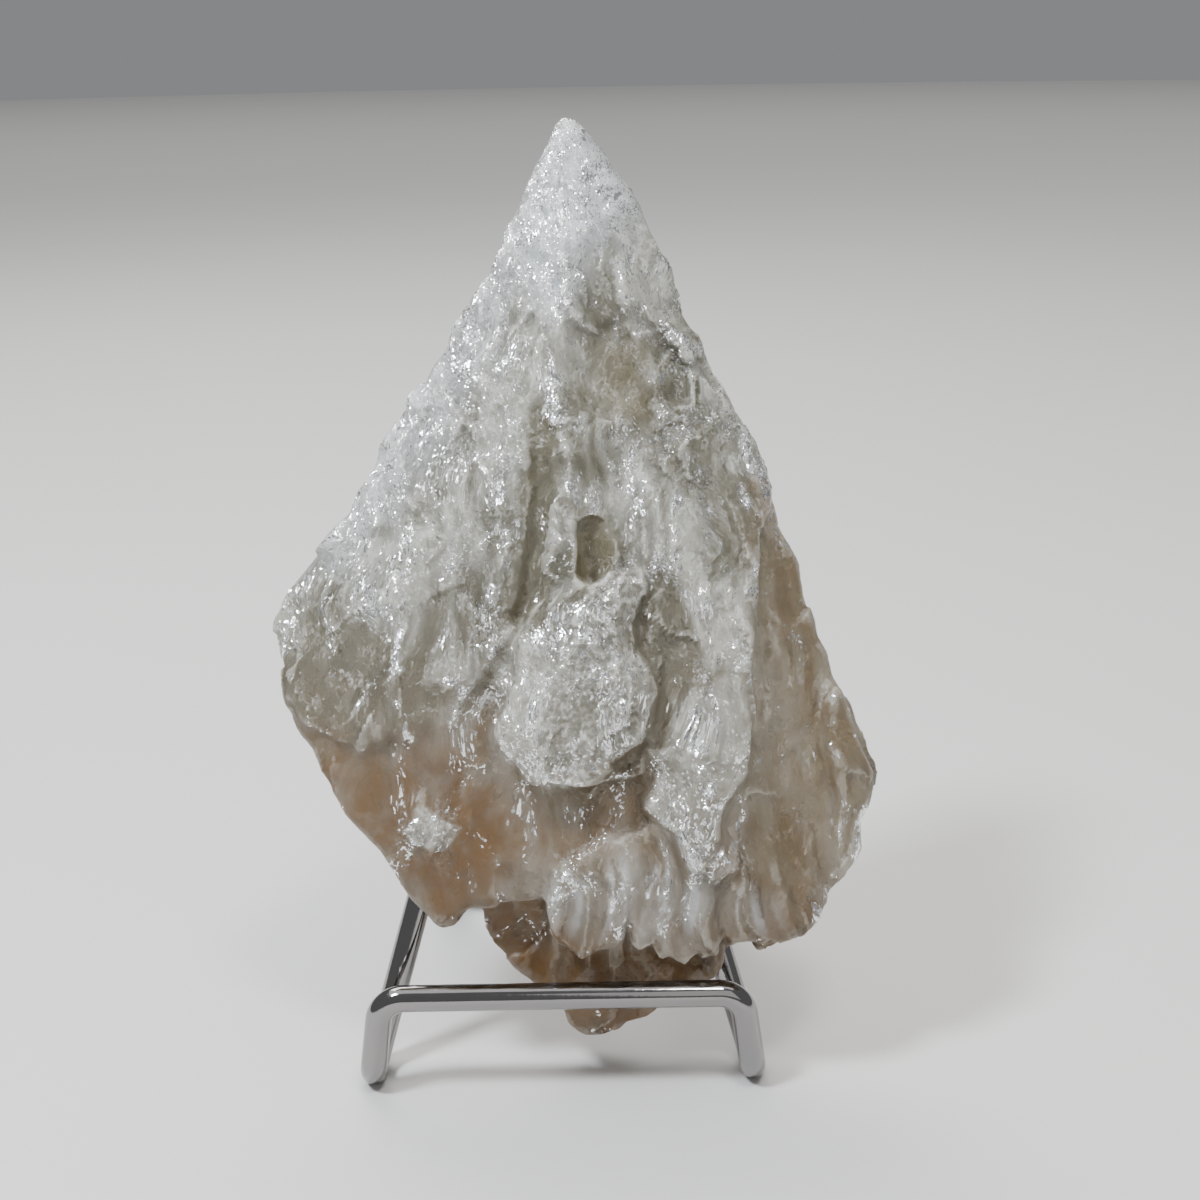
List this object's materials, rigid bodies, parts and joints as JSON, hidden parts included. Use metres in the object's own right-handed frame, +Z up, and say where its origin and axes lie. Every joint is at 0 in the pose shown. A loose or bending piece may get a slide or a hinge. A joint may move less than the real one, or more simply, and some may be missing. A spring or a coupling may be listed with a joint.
{
  "type": "rough quartz point on wire easel",
  "caption": "Rough milky quartz point with growth-lined sheets and a broken lower fringe, leaning on a small chrome wire easel.",
  "frame": {"origin": "centre of the whole object's box, on the surface it stands on", "axes": "+Z up, the broad face of the stone looks towards -Y, +X to the right as seen from the front"},
  "size_m": [0.0674, 0.0492, 0.1055],
  "materials": {
    "quartz": "rough broken crystal, milky grey with a faint green cast",
    "chrome": "polished, lightly worn"
  },
  "bodies": {
    "root": {"quartz_point": "quartz", "easel_front_loop": "chrome", "easel_back_leg": "chrome"}
  },
  "joints": []
}
